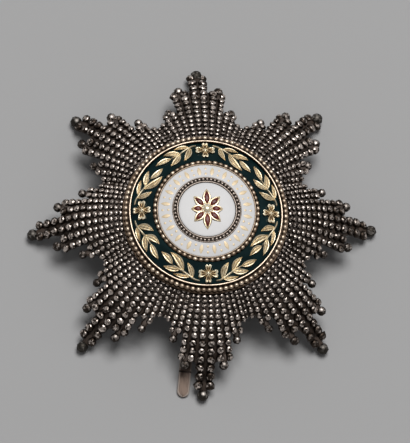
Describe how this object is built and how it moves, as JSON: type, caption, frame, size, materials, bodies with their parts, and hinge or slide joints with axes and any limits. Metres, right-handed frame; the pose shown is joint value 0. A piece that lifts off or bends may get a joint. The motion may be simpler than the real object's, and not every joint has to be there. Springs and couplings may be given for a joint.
{
  "type": "order insignia",
  "caption": "Breast star with rows of faceted silver beads, a gold and enamel medallion with laurel, and a hinged flat pin behind.",
  "frame": {"origin": "on the floor under the middle of the star, which lies face up on its eight point beads", "axes": "+Z out of the star's face, +Y along its upright point, +X to the right seen from the face"},
  "size_m": [0.09, 0.09, 0.0212],
  "materials": {
    "oxidised_silver": "diamond-cut silver, dark brown tarnish between bright facets",
    "plain_silver": "plain silver with an even brown tarnish",
    "dark_silver": "beaded silver, oxidised dark",
    "gold": "chased gold, bright on the high places",
    "green_enamel": "very dark green glossy enamel",
    "white_enamel": "opaque white glossy enamel",
    "red_enamel": "dark red glossy enamel"
  },
  "bodies": {
    "star": {"star_rays": "oxidised_silver", "back_plate": "plain_silver", "medallion_frame": "gold", "outer_bead_ring": "gold", "green_enamel_ring": "green_enamel", "inner_bead_ring": "gold", "white_enamel_ring": "white_enamel", "dark_bead_ring": "dark_silver", "centre_disc": "white_enamel", "rosette_gold": "gold", "rosette_enamel": "red_enamel", "laurel_spray_1": "gold", "laurel_spray_2": "gold", "laurel_spray_3": "gold", "laurel_spray_4": "gold", "laurel_spray_5": "gold", "laurel_spray_6": "gold", "laurel_spray_7": "gold", "laurel_spray_8": "gold", "flower_1": "gold", "flower_2": "gold", "flower_3": "gold", "flower_4": "gold", "hinge_bracket": "plain_silver", "hinge_rod": "plain_silver", "catch_hook": "plain_silver"},
    "pin": {"pin_blade": "plain_silver"}
  },
  "joints": [
    {"name": "pin_hinge", "type": "hinge", "parent": "star", "child": "pin", "pos_m": [0.00113, 0.0185, 0.009], "axis": [0.9942, -0.1073, 0], "range_deg": [-2, 100]}
  ]
}
